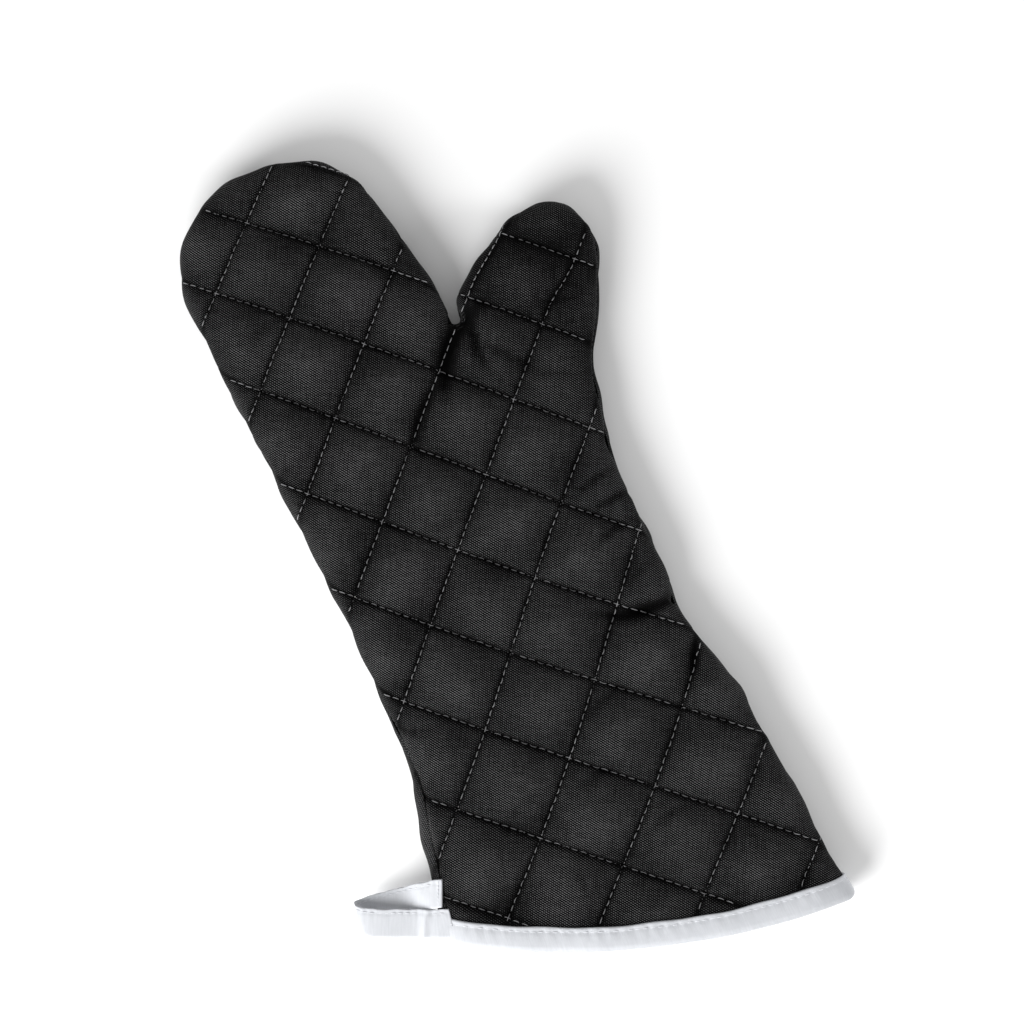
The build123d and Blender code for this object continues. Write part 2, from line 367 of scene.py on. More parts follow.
def puffs(rows, seed):  # 0 on the stitch rows, about 1 in the middle of each square
    part = rows - np.floor(rows)
    g = np.sin(math.pi * part) ** quilting["puffRound"]
    cell = np.floor(rows).astype(int)
    draw = np.random.default_rng(seed).uniform(0, 1, (64, 64, 3))
    own = draw[cell[:, 0] % 64, cell[:, 1] % 64]
    lean = (own[:, 1] - 0.5) * (part[:, 0] - 0.5) + (own[:, 2] - 0.5) * (part[:, 1] - 0.5)
    return g[:, 0] * g[:, 1] * (0.88 + 0.2 * own[:, 0] + 0.22 * lean)


def rowPull(rows):  # dimples at the needle holes and small puckers across each row
    away = np.abs(rows - np.round(rows)) * quilting["pitch"]
    pull = np.zeros(len(rows))
    for own, other in ((0, 1), (1, 0)):
        along = rows[:, other] * quilting["pitch"]
        hole = 0.5 + 0.5 * np.cos(2 * math.pi * along / quilting["stitchLength"])
        groove = np.exp(-((away[:, own] / quilting["grooveWidth"]) ** 2))
        pull += (quilting["grooveDepth"] + quilting["dimple"] * hole) * groove
        wander = np.sin(along * 0.9 + 3.0 * np.sin(rows[:, own] * 5.1 + along * 0.11))
        beside = np.exp(-away[:, own] / 3.4) * np.minimum(away[:, own] / 0.8, 1)
        pull += quilting["pucker"] * wander * beside
    return pull


def panelDrop(plan, rows, depth, seed, creases):  # how far the cover lies below its smooth form
    fade = smooth(depth / quilting["edgeFade"])
    low, high = quilting["pressedRise"]
    bound = smooth((fromMouth(plan) - low) / (high - low))
    drop = quilting["puffDepth"] * (1 - puffs(rows, seed)) * fade
    drop = drop + rowPull(rows) * (0.35 + 0.65 * fade) + creaseDepth(plan, creases)
    drop = drop + waves(plan, (22, 70), quilting["unevenness"], seed + 1) * fade
    drop = drop + waves(plan, (7, 16), 0.2 * quilting["unevenness"], seed + 2)
    return drop * bound + quilting["pressedDrop"] * (1 - bound)


outline = Outline(1.35)
innerOutline = Outline(1.7)  # for the batting and the lining


def latticeSteps(low, high, cells, clustering):
    k = np.arange(math.floor(low) * cells, math.ceil(high) * cells + 1)
    t = k / cells
    return t - clustering * np.sin(2 * math.pi * t) / (2 * math.pi)


def layGrid(edge, ringDepths, cells, clustering):
    # plan of one panel: even strips along the side line, then squares aligned with the rows
    # inside them. Returns plan points, depths, the strips' share and the faces, all facing up.
    strips, count = ringDepths.shape
    plan = [edge.points + edge.inward * ringDepths[k][:, None] for k in range(strips)]
    faces = []
    for k in range(strips - 1):
        for i in range(count):
            j = (i + 1) % count
            faces.append((k * count + i, k * count + j, (k + 1) * count + j, (k + 1) * count + i))
    inner = plan[-1]
    innerDepth = ringDepths[-1].max()
    spacing = quilting["pitch"] / cells
    corners = flatToRows(unspread(edge.points))
    a = latticeSteps(corners[:, 0].min(), corners[:, 0].max(), cells, clustering)
    b = latticeSteps(corners[:, 1].min(), corners[:, 1].max(), cells, clustering)
    rows = np.array(np.meshgrid(a, b, indexing="ij")).reshape(2, -1).T
    grid = spread(rowsToFlat(rows))
    depth = edge.depth(grid)
    wide = len(b)
    keep = (depth > innerDepth + 0.55 * spacing).reshape(len(a), wide)
    full = keep[:-1, :-1] & keep[1:, :-1] & keep[1:, 1:] & keep[:-1, 1:]
    used = np.zeros(keep.shape, bool)
    for da in (0, 1):
        for db in (0, 1):
            used[da:len(a) - 1 + da, db:wide - 1 + db] |= full
    number = np.full(keep.shape, -1)
    number[used] = np.arange(used.sum()) + strips * count
    for p, q in np.argwhere(full):
        faces.append((number[p, q], number[p + 1, q], number[p + 1, q + 1], number[p, q + 1]))
    # the gap between the innermost strip and the squares
    edgeCount = {}
    for f in faces[(strips - 1) * count:]:
        for u, v in zip(f, f[1:] + f[:1]):
            edgeCount[(min(u, v), max(u, v))] = edgeCount.get((min(u, v), max(u, v)), 0) + 1
    rim = [e for e, n in edgeCount.items() if n == 1]
    plan = np.vstack(plan + [grid[used.reshape(-1)]])
    names = list(range((strips - 1) * count, strips * count)) + sorted({v for e in rim for v in e})
    back = {v: i for i, v in enumerate(names)}
    edges = [(i, (i + 1) % count) for i in range(count)] + [(back[u], back[v]) for u, v in rim]
    found = delaunay_2d_cdt([Vector(plan[v]) for v in names], edges, [], 0, 1e-6)
    spots = np.array([list(v) for v in found[0]])
    source = [names[o[0]] for o in found[3]]
    triangles = np.array([list(f) for f in found[2]])
    middles = spots[triangles].mean(1)
    rowMiddles = rowsAt(middles)
    cellA = np.searchsorted(a, rowMiddles[:, 0]) - 1
    cellB = np.searchsorted(b, rowMiddles[:, 1]) - 1
    inCell = full[np.clip(cellA, 0, len(a) - 2), np.clip(cellB, 0, wide - 2)]
    inside = insideOf(inner, middles)
    for t, taken, good in zip(triangles, inCell, inside):
        if good and not taken:
            u, v, w = (source[i] for i in t)
            side = np.cross(plan[v] - plan[u], plan[w] - plan[u])
            if abs(side) > 1e-9:
                faces.append((u, v, w) if side > 0 else (u, w, v))
    depths = np.concatenate([ringDepths.reshape(-1), depth[used.reshape(-1)]])
    return plan, depths, strips * count, faces


def seamLift(points):  # the seam rolls up onto the palm side along the cuff's left edge
    left = (points[:, 0] < 0) * smooth((-62 - points[:, 1]) / 60)
    heel = (points[:, 0] > 60) * smooth((points[:, 1] + 40) / 50) * smooth((96 - points[:, 1]) / 30)
    return 0.62 * left + 0.30 * heel


panelEdge = {
    "strips": 13,  # mesh rows from the seam to the flat
    "swell": 0.8,  # the squares flatten softly over this last bit of height
    "leastRise": 2.6,  # the deepest fold still lies this far off the seam's level
    "rowTug": 1.5,  # a stitch row draws the side in
    "mostTug": 3.3,
    "valley": 1.1,  # depth and half width of the valley that the seam sits in
}
shadeAndToneWeights = {  # painted shade and light on the black canvas: painted shade in the hollows by the stitch rows and in the folds, painted light on the puffs' crowns, darker on the thumb where the light falls off and towards the mouth; clouds is random tone
    "puffs": 1.0,
    "rows": 0.9,
    "creases": 0.52,
    "clouds": 0.16,
    "thumb": 0.6,
    "mouth": 0.35,
    "base": 0.62,
}


def shadeAndToneOf(pattern, rows, seed, creases):  # painted shade and light: higher on the puffs' crowns, lower in the stitch rows and folds, on the thumb and towards the mouth, plus random clouds of tone
    nearRow = (np.abs(rows - np.round(rows)) * quilting["pitch"]).min(1)
    # painted light on the puffs' crowns and painted shade along the stitch rows
    fade = shadeAndToneWeights["puffs"] * puffs(rows, seed) - shadeAndToneWeights["rows"] * np.exp(-((nearRow / 1.3) ** 2))
    fade = fade - shadeAndToneWeights["base"] - shadeAndToneWeights["creases"] * creaseDepth(pattern, creases)
    fade = fade - waves(pattern, (25, 60), shadeAndToneWeights["clouds"], seed + 1)
    # painted shade on the thumb, where the light falls off
    overThumb = smooth((pattern.sum(1) - 95) / 35) * smooth((pattern[:, 0] - 32) / 12)
    fade = fade - shadeAndToneWeights["thumb"] * overThumb
    return fade - shadeAndToneWeights["mouth"] * smooth((34 - fromMouth(pattern)) / 24)


def makePanel(side, seed, creases):
    # side +1 is the palm side, -1 the underside. Both start at the same seam.
    strips = panelEdge["strips"]
    start = side * seamLift(outline.points)  # place on the side's curve, 0 at mid height
    along = np.linspace(0, 1, strips)[:, None]
    place = start + (1 - start) * along
    ringDepths = rowDepth(place)
    cover, depths, ringTotal, faces = layGrid(
        outline, ringDepths, quilting["cellsPerPitch"], quilting["clustering"]
    )
    place = np.concatenate([place.reshape(-1), np.ones(len(cover) - ringTotal)])
    # unfold the strips for the cloth's pattern, so that rows and weave run on round the side
    height = halfHeight(depths, seamZ, mittShape["shoulderWidth"]) * np.sign(place)
    profile = np.column_stack([ringDepths.reshape(-1), height[:ringTotal]]).reshape(strips, -1, 2)
    steps = np.linalg.norm(np.diff(profile, axis=0), axis=2)
    outward = np.vstack([np.cumsum(steps[::-1], axis=0)[::-1], np.zeros((1, outline.count))])
    pattern = cover.copy()
    base = outline.points + outline.inward * mittShape["sideWidth"]
    pattern[:ringTotal] = (base[None] - outline.inward[None] * outward[:, :, None]).reshape(-1, 2)
    rows = rowsAt(pattern)
    drop = panelDrop(pattern, rows, depths, seed, creases)
    z = height - drop * smooth(place / 0.6)
    soft = panelEdge["swell"]
    over = np.maximum(z - seamZ + soft, 0)
    z = z - over + soft * np.tanh(over / soft) + (0.7 if side > 0 else 0) * np.tanh(over)
    z = np.maximum(z, np.minimum(height, panelEdge["leastRise"] * smooth((place - 0.2) / 0.5)))
    # stitch rows draw the side in, and the seam sits in a small valley
    inward = np.zeros(len(cover))
    sideShare = 1 - smooth(np.abs(place[:ringTotal]) / 0.9)
    tug = np.minimum(creaseDepth(pattern[:ringTotal], creases), 3.0)
    tug = tug + panelEdge["rowTug"] * (1 - puffs(rows[:ringTotal], seed))
    tug = tug + waves(pattern[:ringTotal], (18, 40), 0.35, seed + 5)
    inward[:ringTotal] = np.clip(tug, -0.3, panelEdge["mostTug"]) * sideShare
    fromSeam = np.vstack([np.zeros((1, outline.count)), np.cumsum(steps, axis=0)]).reshape(-1)
    valley = panelEdge["valley"] * np.exp(-((fromSeam / panelEdge["valley"]) ** 2))
    lean = smooth(np.abs(place[:ringTotal]) / 0.5)
    inward[:ringTotal] += valley * (1 - lean)
    z[:ringTotal] -= valley * lean * np.sign(place[:ringTotal])
    pull = np.zeros_like(cover)
    pull[:ringTotal] = np.tile(outline.inward, (strips, 1)) * inward[:ringTotal, None]
    cover = cover + pull
    points = np.column_stack([cover, seamZ + side * z])
    if side < 0:
        faces = [f[::-1] for f in faces]
    return {
        "points": points,
        "faces": faces,
        "pattern": pattern,
        "seam": points[:outline.count],
        # painted shade and light of the canvas, with random tone, kept as a point attribute
        "paintedShadeAndTone": shadeAndToneOf(pattern, rows, seed, creases),
    }


def surfaceTree(panel):
    return BVHTree.FromPolygons(panel["points"].tolist(), [tuple(map(int, f)) for f in panel["faces"]])


def dropOnto(tree, plan, side):  # height and normal of the cover at a point in plan
    above = Vector((plan[0], plan[1], seamZ + side * 60))
    hit, normal = tree.ray_cast(above, Vector((0, 0, -side)))[:2]
    return (None, None) if hit is None else (np.array(hit), np.array(normal))


innerLayers = {
    "reach": 2.4,  # the layers look this far round them for the lowest spot of the cover
    "battingStart": 4.2,  # plan distance from the side line
    "battingGap": 0.8,  # below the cover
    "liningGap": 1.4,
    "stripWidths": {"batting": 6.8, "lining": 4.0},
    "strips": 6,
    "cellsPerPitch": 14,
}


def roomUnder(tree, plan, side):  # least height of the cover over the seam, close round each point
    room = np.full(len(plan), 30.0)
    reach = innerLayers["reach"]
    around = [reach * np.array([math.cos(a), math.sin(a)]) for a in np.arange(8) * math.pi / 4]
    for shift in [np.zeros(2)] + around:
        for i, p in enumerate(plan + shift):
            hit = dropOnto(tree, p, side)[0]
            if hit is not None:
                room[i] = min(room[i], side * (hit[2] - seamZ))
    return room


def liningHeight(plan, depths, room, seed):
    t = mittShape["panelThickness"]
    swell = 1.6 * puffs(rowsAt(plan), seed + 9) * smooth((depths - t) / 12)
    swell = swell + waves(plan, (15, 50), 0.25, seed + 9)
    bound = smooth((fromMouth(plan) - 10) / 8)
    z = halfHeight(depths - t, seamZ - t, 14.0) - swell * bound * smooth((depths - t) / 3)
    z = z + (t - mittShape["boundThickness"] - 0.8) * (1 - bound) * smooth((depths - t) / 6)
    return np.maximum(np.minimum(z, room - innerLayers["liningGap"]), 0.05)


def innerGrid(layer, start, clustering):
    along = np.linspace(0, 1, innerLayers["strips"])[:, None] ** mittShape["bunching"]
    strips = start + innerLayers["stripWidths"][layer] * along * np.ones((1, innerOutline.count))
    plan, depths, _, faces = layGrid(innerOutline, strips, innerLayers["cellsPerPitch"], clustering)
    return plan, depths, faces


def makeLining(side, seed, tree):
    plan, depths, faces = innerGrid("lining", mittShape["panelThickness"], 0.2)
    z = liningHeight(plan, depths, roomUnder(tree, plan, side), seed)
    points = np.column_stack([plan, seamZ + side * z])
    if side > 0:
        faces = [f[::-1] for f in faces]
    return {"points": points, "faces": faces, "pattern": plan}


def makeBatting(side, seed, tree):
    start = innerLayers["battingStart"]
    plan, depths, faces = innerGrid("batting", start, 0.3)
    rounded = halfHeight(depths - start + 0.6, seamZ - 1.3, 21.0)
    room = roomUnder(tree, plan, side)
    outer = np.maximum(np.minimum(rounded, room - innerLayers["battingGap"]), 0.3)
    inner = np.clip(liningHeight(plan, depths, room, seed) + 0.3, 0.2, outer - 0.1)
    points = np.vstack([
        np.column_stack([plan, seamZ + side * outer]),
        np.column_stack([plan, seamZ + side * inner]),
    ])
    n, count = len(plan), innerOutline.count
    allFaces = list(faces) + [tuple(v + n for v in f[::-1]) for f in faces]
    for i in range(count):
        j = (i + 1) % count
        allFaces.append((j, i, i + n, j + n))
    if side < 0:
        allFaces = [f[::-1] for f in allFaces]
    return {"points": points, "faces": allFaces, "pattern": np.vstack([plan, plan])}


folds = {
    "pieceLine": -32.0,  # the palm's rigid belt, where a panel's two pieces meet
    "thumbStart": 2.5,
    "thumbEnd": 30.0,
    "knuckleStart": knuckleY - 12.0,
    "knuckleEnd": knuckleY + 20.0,
    "wristStart": wristY + 26.0,
    "wristEnd": wristY - 26.0,
}
thumbOut = np.array([1.0, 1.0]) / math.sqrt(2)


def regionOf(middles):  # 0 fingers and palm, 1 thumb, 2 cuff
    beyond = (middles[:, :2] - np.array([webX, webY])) @ thumbOut
    region = np.zeros(len(middles), int)
    region[(beyond > 0) & (middles[:, 0] > webX)] = 1
    region[middles[:, 1] < folds["pieceLine"]] = 2
    return region


def bindFold(piece, region):
    if region == 0:
        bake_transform(piece)
    elif region == 1:
        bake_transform(piece)
    else:
        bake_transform(piece)


def meshObject(name, points, faces, pattern, material, normals=None):
    mesh = bpy.data.meshes.new(name)
    mesh.from_pydata((np.asarray(points) * mm).tolist(), [], [tuple(map(int, f)) for f in faces])
    mesh.polygons.foreach_set("use_smooth", np.ones(len(mesh.polygons), bool))
    layer = mesh.uv_layers.new(name="pattern")
    loops = np.zeros(len(mesh.loops), np.int32)
    mesh.loops.foreach_get("vertex_index", loops)
    uv = (np.asarray(pattern)[loops] / patternUnit).astype(np.float32)
    layer.data.foreach_set("uv", uv.reshape(-1))
    if normals is not None:
        mesh.normals_split_custom_set_from_vertices(np.asarray(normals).tolist())
    obj = bpy.data.objects.new(name, mesh)
    bpy.context.scene.collection.objects.link(obj)
    mesh.materials.append(material)
    return obj


def wholeNormals(points, faces):
    mesh = bpy.data.meshes.new("whole")
    mesh.from_pydata(points.tolist(), [], [tuple(map(int, f)) for f in faces])
    normals = np.zeros(len(points) * 3, np.float32)
    mesh.vertices.foreach_get("normal", normals)
    bpy.data.meshes.remove(mesh)
    return normals.reshape(-1, 3)


def splitPanel(panel, names, mouthCut, material, replaced):
    # cuts one cloth into its three pieces where nothing bends, with the whole cloth's normals
    points, pattern = panel["points"], panel["pattern"]
    faces = panel["faces"]
    sizes = np.array([len(f) for f in faces])
    flat = np.concatenate([np.array(f) for f in faces])
    starts = np.concatenate([[0], np.cumsum(sizes)[:-1]])
    middles = np.add.reduceat(points[flat], starts, axis=0) / sizes[:, None]
    region = regionOf(middles)
    region[fromMouth(middles[:, :2]) < mouthCut] = -1
    normals = wholeNormals(points, faces)
    for r, name in enumerate(names):
        chosen = [faces[i] for i in np.flatnonzero(region == r)]
        used = np.unique(np.concatenate([np.array(f) for f in chosen]))
        back = np.full(len(points), -1)
        back[used] = np.arange(len(used))
        own = [tuple(back[list(f)]) for f in chosen]
        piece = meshObject(name, points[used], own, pattern[used], material, normals[used])
        # carries the painted shade and light into each piece
        if "paintedShadeAndTone" in panel:
            layer = piece.data.attributes.new("paintedShadeAndTone", "FLOAT", "POINT")
            layer.data.foreach_set("value", panel["paintedShadeAndTone"][used].astype(np.float32))
        bindFold(piece, r)
        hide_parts(*replaced[r])


def newMaterial(name, color, roughness, sheen=0.0, sheenRough=0.5, specular=0.3):
    material = bpy.data.materials.new(name)
    material.use_nodes = True
    shader = material.node_tree.nodes["Principled BSDF"]
    shader.inputs["Base Color"].default_value = (*color, 1)
    shader.inputs["Roughness"].default_value = roughness
    shader.inputs["Sheen Weight"].default_value = sheen
    shader.inputs["Sheen Roughness"].default_value = sheenRough
    shader.inputs["Specular IOR Level"].default_value = specular
    material.diffuse_color = (*color, 1)
    return material, material.node_tree, shader


def calc(tree, operation, a, b=0.0):
    node = tree.nodes.new("ShaderNodeMath")
    node.operation = operation
    for socket, value in zip(node.inputs, (a, b)):
        if isinstance(value, (int, float)):
            socket.default_value = value
        else:
            tree.links.new(value, socket)
    return node.outputs[0]


def total(tree, value, *others):
    for other in others:
        value = calc(tree, "ADD", value, other)
    return value


def times(tree, a, b):
    return calc(tree, "MULTIPLY", a, b)


def mapped(tree, vector, setting, value):
    mapping = tree.nodes.new("ShaderNodeMapping")
    mapping.inputs[setting].default_value = value
    tree.links.new(vector, mapping.inputs["Vector"])
    return mapping.outputs[0]


def patternAxes(tree, degrees=0.0):  # the cloth's pattern, turned, and its two directions
    uv = tree.nodes.new("ShaderNodeUVMap")
    uv.uv_map = "pattern"
    vector = uv.outputs[0]
    if degrees:
        vector = mapped(tree, vector, "Rotation", (0, 0, math.radians(degrees)))
    parts = tree.nodes.new("ShaderNodeSeparateXYZ")
    tree.links.new(vector, parts.inputs[0])
    return vector, parts.outputs[0], parts.outputs[1]


def noise(tree, vector, scale, detail=2.0, stretch=None):
    if stretch is not None:
        vector = mapped(tree, vector, "Scale", stretch)
    node = tree.nodes.new("ShaderNodeTexNoise")
    node.inputs["Scale"].default_value = scale
    node.inputs["Detail"].default_value = detail
    tree.links.new(vector, node.inputs["Vector"])
    return node.outputs["Fac"]


def ramp(tree, value, stops):
    node = tree.nodes.new("ShaderNodeValToRGB")
    while len(node.color_ramp.elements) < len(stops):
        node.color_ramp.elements.new(0.5)
    for element, (at, color) in zip(node.color_ramp.elements, stops):
        element.position = at
        element.color = (*color, 1)
    tree.links.new(value, node.inputs[0])
    return node.outputs[0]


def bump(tree, shader, height, distance, strength):
    node = tree.nodes.new("ShaderNodeBump")
    node.inputs["Strength"].default_value = strength
    node.inputs["Distance"].default_value = distance
    tree.links.new(height, node.inputs["Height"])
    tree.links.new(node.outputs[0], shader.inputs["Normal"])


def weaveHeight(tree, vector, u, v, pitches, slub):
    # plain weave: the little mound of each crossing, and warp and weft over by turns, -1 to 1
    uneven = calc(tree, "SUBTRACT", noise(tree, vector, 120.0, 1.0), 0.5)
    wobble = times(tree, uneven, slub)
    threads = []
    for axis, pitch in ((u, pitches[0]), (v, pitches[1])):
        turns = times(tree, axis, patternUnit / pitch * math.pi)
        threads.append(calc(tree, "SINE", total(tree, turns, wobble)))
    over = times(tree, *threads)
    return calc(tree, "SQRT", calc(tree, "ABSOLUTE", over)), over


canvasFinish = {
    "grain": 28.0,  # turn of the cloth's threads against the mitt
    "pitches": (0.99, 0.57),
    "dark": (0.0, 0.0, 0.0),
    "middle": (0.0018, 0.0018, 0.0019),
    "light": (0.020, 0.020, 0.0205),
    "fuzz": (0.10, 0.10, 0.102),
    "bump": 0.7,
}


def makeCanvas():
    finish = canvasFinish
    material, tree, shader = newMaterial(
        "blackCanvas", finish["middle"], 0.9, sheen=0.05, sheenRough=0.3, specular=0.05
    )
    vector, u, v = patternAxes(tree, finish["grain"])
    over = weaveHeight(tree, vector, u, v, finish["pitches"], 1.6)[1]
    a, b = (patternUnit * math.pi / p for p in finish["pitches"])
    twill = calc(tree, "COSINE", total(tree, times(tree, u, a), times(tree, v, b)))
    warp = noise(tree, vector, 1.0, 2.0, stretch=(110.0, 9.0, 1.0))
    weft = noise(tree, vector, 1.0, 2.0, stretch=(9.0, 110.0, 1.0))
    thread = total(tree, times(tree, warp, 0.5), times(tree, weft, 0.5))
    weave = calc(tree, "SUBTRACT", times(tree, over, 0.50), times(tree, twill, 0.30))
    cloud = calc(tree, "SUBTRACT", noise(tree, vector, 4.0, 3.0), 0.5)
    lint = calc(tree, "SUBTRACT", noise(tree, vector, 150.0, 2.0), 0.68)
    lint = times(tree, calc(tree, "MAXIMUM", lint, 0.0), 3.0)
    # painted shade and light from the cover's shape: darker in the rows, folds, on the thumb and towards
    # the mouth, paler on the puffs
    paintedShadeAndTone = tree.nodes.new("ShaderNodeAttribute")
    paintedShadeAndTone.attribute_name = "paintedShadeAndTone"
    shadeAndToneShift = times(tree, paintedShadeAndTone.outputs["Fac"], 0.22)
    tone = total(
        tree, weave, 0.02, times(tree, thread, 0.85), times(tree, cloud, 0.3), lint, shadeAndToneShift
    )
    shades = [finish[k] for k in ("dark", "middle", "light", "fuzz")]
    stops = list(zip((0.22, 0.5, 0.85, 1.0), shades))
    tree.links.new(ramp(tree, tone, stops), shader.inputs["Base Color"])
    tree.links.new(total(tree, 0.78, times(tree, thread, 0.2)), shader.inputs["Roughness"])
    height = total(tree, times(tree, over, 0.5), times(tree, thread, 0.6))
    bump(tree, shader, height, 0.00025, finish["bump"])
    return material


tones = {  # darkest and palest tone of each cloth and thread
    "greyLining": ((0.34, 0.345, 0.36), (0.52, 0.525, 0.54)),
    "whiteTape": ((0.40, 0.412, 0.435), (0.52, 0.53, 0.555)),
    "greyThread": ((0.035, 0.035, 0.037), (0.30, 0.30, 0.31)),
    "blackThread": ((0.008, 0.008, 0.009), (0.03, 0.03, 0.032)),
    "whiteThread": ((0.50, 0.51, 0.54), (0.66, 0.67, 0.70)),
}


def makeCotton(name, pitch, strength, roughness=0.85, sheen=0.25):
    dark, light = tones[name]
    material, tree, shader = newMaterial(name, light, roughness, sheen=sheen)
    vector, u, v = patternAxes(tree)
    mound = weaveHeight(tree, vector, u, v, (pitch, pitch), 0.8)[0]
    warp = noise(tree, vector, 1.0, 2.0, stretch=(150.0, 12.0, 1.0))
    cloud = noise(tree, vector, 9.0, 3.0)
    tone = total(
        tree, times(tree, mound, 0.35), times(tree, warp, 0.45), times(tree, cloud, 0.3)
    )
    tree.links.new(ramp(tree, tone, [(0.3, dark), (0.8, light)]), shader.inputs["Base Color"])
    rough = total(tree, roughness - 0.08, times(tree, warp, 0.14))
    tree.links.new(rough, shader.inputs["Roughness"])
    bump(tree, shader, total(tree, mound, warp), 0.00012, strength)
    return material


def makeThread(name):
    dark, light = tones[name]
    material, tree, shader = newMaterial(name, light, 0.7, sheen=0.3, specular=0.35)
    vector, u, v = patternAxes(tree)
    twist = total(tree, times(tree, u, 900.0), times(tree, v, 5.0))
    ply = calc(tree, "ABSOLUTE", calc(tree, "SINE", twist))
    own = noise(tree, vector, 3.0, 2.0)
    tone = total(tree, times(tree, ply, 0.5), times(tree, own, 0.5))
    tree.links.new(ramp(tree, tone, [(0.2, dark), (0.8, light)]), shader.inputs["Base Color"])
    bump(tree, shader, ply, 0.00008, 0.7)
    return material


def makeWadding():
    material, tree, shader = newMaterial("batting", (0.8, 0.79, 0.76), 0.95, sheen=0.4)
    tuft = noise(tree, patternAxes(tree)[0], 60.0, 4.0)
    color = ramp(tree, tuft, [(0.3, (0.62, 0.61, 0.58)), (0.7, (0.84, 0.83, 0.8))])
    tree.links.new(color, shader.inputs["Base Color"])
    bump(tree, shader, tuft, 0.0008, 0.8)
    return material


blackCanvas = makeCanvas()
greyLining = makeCotton("greyLining", 0.75, 0.8)
whiteTape = makeCotton("whiteTape", 0.42, 0.5, sheen=0.05)
greyThread, blackThread, whiteThread = (
    makeThread(name) for name in ("greyThread", "blackThread", "whiteThread")
)
whiteBatting = makeWadding()
print("materials made")

sides = {"front": (1, 41, frontCreases), "back": (-1, 83, backCreases)}
cutRise = {"cover": 4.0, "batting": 3.0, "lining": 4.0}


def pieceNames(side, layer):
    head = side + layer.capitalize()
    return [head + "Hand", head + "Thumb", head + "Cuff"]


def nodesFor(side, layer):
    return [
        [f"{side}_{layer}_palm", f"{side}_{layer}_fingers"],
        [f"{side}_{layer}_thumb"],
        [f"{side}_{layer}_cuff"],
    ]


covers = {}
trees = {}
for side, (sign, seed, creases) in sides.items():
    covers[side] = makePanel(sign, seed, creases)
    trees[side] = surfaceTree(covers[side])
    splitPanel(
        covers[side], pieceNames(side, "cover"), cutRise["cover"], blackCanvas,
        nodesFor(side, "cover"),
    )
    print(side, "cover sewn:", len(covers[side]["points"]), "points")
    splitPanel(
        makeBatting(sign, seed, trees[side]), pieceNames(side, "batting"), cutRise["batting"],
        whiteBatting, nodesFor(side, "batting"),
    )
    splitPanel(
        makeLining(sign, seed, trees[side]), pieceNames(side, "lining"), cutRise["lining"], greyLining,
        nodesFor(side, "lining"),
    )

stitching = {
    "showing": 2.9,  # length of thread on top, of each 4 mm stitch
    "unevenness": 0.0035,  # of a row's pitch
    "rings": 6,
    "sides": 6,
    # radius of the thread, how far a stitch bows out and how far its ends sink in
    "quilting": (0.21, 0.5, 0.02),
    "seam": (0.22, 0.2, 0.1),
    "binding": (0.2, 0.16, 0.1),
    "loop": (0.17, 0.2, 0.08),
}
rng = np.random.default_rng(17)


def dashMesh(starts, ends, normals, radius, rise, sink):
    # one small bowed capsule per stitch
    rings, around = stitching["rings"], stitching["sides"]
    points, faces, pattern = [], [], []
    for n, (a, b, up) in enumerate(zip(starts, ends, normals)):
        run = b - a
        length = np.linalg.norm(run)
        if length < 1e-6:
            continue
        ahead = run / length
        across = np.cross(ahead, up)
        across /= np.linalg.norm(across)
        up = np.cross(across, ahead)
        first = len(points)
        for k in range(rings):
            t = k / (rings - 1)
            arch = math.sin(math.pi * t)
            centre = a + run * t + up * (rise * arch**0.7 - sink)
            r = radius * (0.45 + 0.55 * min(1.0, 3.0 * arch))
            for m in range(around):
                angle = 2 * math.pi * m / around
                points.append(centre + (across * math.cos(angle) + up * math.sin(angle)) * r)
                pattern.append((n * 7.3 + t * length, m / around * 1.6))
        for k in range(rings - 1):
            for m in range(around):
                p, q = first + k * around + m, first + k * around + (m + 1) % around
                faces.append((p, q, q + around, p + around))
        faces.append(tuple(first + m for m in range(around))[::-1])
        faces.append(tuple(first + (rings - 1) * around + m for m in range(around)))
    return np.array(points), [f[::-1] for f in faces], np.array(pattern)


def sewRows(rows, names, nodes, material, sizes):  # one piece of thread for each region
    for r, name in enumerate(names):
        starts, ends, up = (np.array([row[k] for row in rows[r]]) for k in range(3))
        piece = meshObject(name, *dashMesh(starts, ends, unit(up), *sizes), material)
        bindFold(piece, r)
        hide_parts(*nodes[r])


